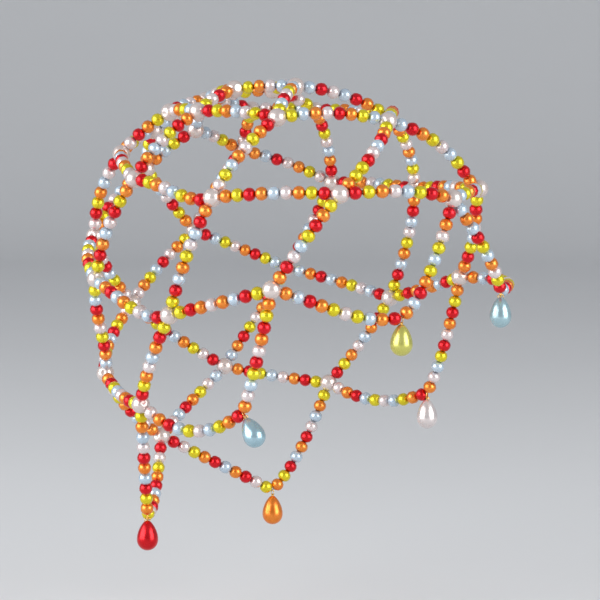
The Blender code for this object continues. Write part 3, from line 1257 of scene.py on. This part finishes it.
@dataclass
class HangingDrop:
    """A teardrop pearl with its gold cap, and the gold link and bow that carry it."""

    shop: Workshop
    azimuth: int
    link_narrow: float = 0.7
    # the bow: how far each loop stands to the side and up, its turn, its size
    bow: float = 0.0008
    bow_rise: float = 0.0003
    bow_turn: float = 0.5
    bow_size: float = 0.7
    # azimuth, forward lean of a drop that doesn't hang straight down
    leans: dict[int, float] = field(default_factory=lambda: {90: 33.0})

    def build(self) -> tuple[bpy.types.Object, bpy.types.Object]:
        """Build the drop and its rings and give them to the frame.

        Returns:
            The drop and the link with its bow.
        """
        place = PLACES[self.azimuth]
        pivot = self.shop.net.knots[("swag", self.azimuth)]
        lean = Matrix.Rotation(radians(-self.leans.get(self.azimuth, 0.0)), 4, "X")
        _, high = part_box(f"drop_{place}")
        tilted = lean.to_3x3() @ Vector((0.0, 0.0, -1.0))
        depth = (pivot.z - high.z) / -tilted.z
        hang = Matrix.Translation(pivot) @ lean
        moulds, finishes = self.shop.moulds, self.shop.finishes
        tip = hang @ Matrix.Translation((0.0, 0.0, -depth))
        drop = copy_at(moulds.drop, tip, finishes.drops[self.azimuth])
        cap = copy_at(moulds.cap, tip, finishes.gold)
        made = join(f"pearl_drop_{place}", [drop, cap])
        hand_over(made, f"drop_{place}")
        upright = Matrix.Rotation(pi / 2, 4, "X")
        across = Matrix.Rotation(radians(self.azimuth), 4, "Z")
        long = Matrix.Diagonal((self.link_narrow, 1.0, depth / 2 / RingMould.radius, 1.0))
        link = hang @ Matrix.Translation((0.0, 0.0, -depth / 2)) @ across
        link = link @ Matrix.Rotation(pi / 2, 4, "Z") @ long @ upright
        rings = [copy_at(moulds.ring, link, finishes.gold)]
        for side in (-1, 1):
            loop = tip @ across @ Matrix.Translation((side * self.bow, 0.0, self.bow_rise))
            loop = loop @ Matrix.Rotation(side * self.bow_turn, 4, "Y")
            loop = loop @ upright @ Matrix.Scale(self.bow_size, 4)
            rings.append(copy_at(moulds.ring, loop, finishes.gold))
        bail = join(f"gold_link_{place}", rings)
        hand_over(bail, f"bail_{place}")
        return made, bail


# Studio
@dataclass(frozen=True)
class SoftBox:
    """A rectangular soft light that faces the hat, which the camera doesn't see."""

    name: str
    # azimuth from the camera in degrees, positive to the right
    side: float
    # height over the hat's middle and distance from it over the floor
    height: float
    away: float
    size: tuple[float, float]
    watts: float

    def light(self, aim: Vector, azimuth: float) -> bpy.types.Object:
        """Add the light.

        Args:
            aim: The hat's middle.
            azimuth: The camera's azimuth, in degrees.

        Returns:
            The light.
        """
        az = radians(azimuth + self.side)
        place = aim + Vector((sin(az) * self.away, -cos(az) * self.away, self.height))
        turn = (aim - place).to_track_quat("-Z", "Y").to_matrix().to_4x4()
        data = bpy.data.lights.new(self.name, "AREA")
        data.shape = "RECTANGLE"
        data.size, data.size_y = self.size
        data.energy = self.watts
        made = bpy.data.objects.new(self.name, data)
        made.matrix_world = Matrix.Translation(place) @ turn
        made.visible_camera = False
        bpy.context.collection.objects.link(made)
        return made


SOFT_BOXES = (
    SoftBox("left_box", side=-62.0, height=0.55, away=1.75, size=(2.0, 1.5), watts=42.0),
    SoftBox("right_box", side=55.0, height=0.50, away=1.75, size=(1.3, 1.4), watts=27.0),
)


@dataclass
class Studio:
    """A pale round studio, soft boxes at both sides and the photograph's camera."""

    floor_height: float = -0.262
    radius: float = 2.8
    floor_sides: int = 96
    # the floor's rim: its radius, its stretches and the wall above it
    rim: float = 0.9
    rim_steps: int = 12
    wall: float = 0.8
    air: tuple[float, float, float] = (0.93, 0.95, 1.0)
    air_strength: float = 0.46
    form_drop: float = 0.088
    azimuth: float = -50.7
    elevation: float = 4.5
    distance: float = 1.300
    focal_pixels: float = 2662.0
    image: float = 600.0
    sensor: float = 36.0
    shift_right: float = 0.0131
    shift_up: float = -0.0135

    def axes(self) -> tuple[Vector, Vector, Vector]:
        """Where the camera's axes point.

        Returns:
            Its right, up and back.
        """
        az, el = radians(self.azimuth), radians(self.elevation)
        right = Vector((cos(az), sin(az), 0.0))
        back = Vector((sin(az) * cos(el), -cos(az) * cos(el), sin(el)))
        return right, back.cross(right), back

    def camera(self) -> None:
        """Set the camera where the photograph was taken from."""
        right, up, back = self.axes()
        centre = Vector((0.0, 0.0, -self.form_drop))
        spot = centre + right * self.shift_right + up * self.shift_up + back * self.distance
        data = bpy.data.cameras.new("photo_camera")
        data.sensor_width = self.sensor
        data.lens = self.focal_pixels * data.sensor_width / self.image
        data.clip_start = 0.05
        data.clip_end = 50.0
        made = bpy.data.objects.new("photo_camera", data)
        turn = Matrix((right, up, back)).transposed().to_4x4()
        made.matrix_world = Matrix.Translation(spot) @ turn
        bpy.context.collection.objects.link(made)
        bpy.context.scene.camera = made
        bpy.context.scene.view_settings.view_transform = "Standard"

    def floor(self) -> None:
        """Model the floor as a wide disc whose rim curves up all round."""
        deselect_all()
        bpy.ops.mesh.primitive_circle_add(
            vertices=self.floor_sides, radius=self.radius, fill_type="NGON",
            location=(0.0, 0.0, self.floor_height))
        floor = bpy.context.object
        floor.name = "studio_floor"
        bpy.ops.object.transform_apply(location=True, rotation=True, scale=True)
        bpy.ops.object.mode_set(mode="EDIT")
        bpy.ops.mesh.select_mode(type="EDGE")
        bpy.ops.mesh.select_all(action="DESELECT")
        mesh = bmesh.from_edit_mesh(floor.data)
        for edge in mesh.edges:
            edge.select = edge.is_boundary
        bmesh.update_edit_mesh(floor.data)
        reach, rise = self.radius, 0.0
        for step in range(1, self.rim_steps + 1):
            angle = pi / 2 * step / self.rim_steps
            next_reach = self.radius + self.rim * sin(angle)
            next_rise = self.rim * (1 - cos(angle))
            bpy.ops.mesh.extrude_region_move(
                TRANSFORM_OT_translate={"value": (0.0, 0.0, next_rise - rise)})
            wider = next_reach / reach
            bpy.ops.transform.resize(
                value=(wider, wider, 1.0), center_override=(0.0, 0.0, self.floor_height))
            reach, rise = next_reach, next_rise
        bpy.ops.mesh.extrude_region_move(
            TRANSFORM_OT_translate={"value": (0.0, 0.0, self.wall)})
        bpy.ops.object.mode_set(mode="OBJECT")
        bpy.ops.object.shade_smooth_by_angle(angle=radians(40))
        floor.data.materials.append(PAPER.dress())

    def light(self) -> None:
        """Light the hat from both sides of the camera, with a pale surround."""
        world = bpy.context.scene.world or bpy.data.worlds.new("studio_air")
        bpy.context.scene.world = world
        world.use_nodes = True
        air = world.node_tree.nodes["Background"]
        air.inputs["Color"].default_value = (*self.air, 1.0)
        air.inputs["Strength"].default_value = self.air_strength
        middle = Vector((0.0, 0.0, -self.form_drop))
        for box in SOFT_BOXES:
            LOG.info("%s added", box.light(middle, self.azimuth).name)

    def build(self) -> None:
        """Set up the floor, lights and camera."""
        self.floor()
        self.light()
        self.camera()


def main() -> None:
    """Build the hat from the crown down and report each piece, then build the studio."""
    logging.basicConfig(level=logging.INFO, format="%(name)s: %(message)s")
    net = Net()
    net.tie()
    moulds = Moulds()
    moulds.model()
    finishes = Finishes()
    finishes.dress()
    shop = Workshop(net, moulds, finishes)
    report(CrownStar(shop).build())
    above = "crown"
    for name, _, _, first in net.rounds:
        for azimuth in round_azimuths(first):
            report(NetPiece(shop, name, above, azimuth).build())
        above = name
    for azimuth in round_azimuths(HALF_SECTOR):
        report(Swag(shop, azimuth).build())
        for piece in HangingDrop(shop, azimuth).build():
            report(piece)
    moulds.clear()
    Studio().build()


if __name__ == "__main__":
    main()
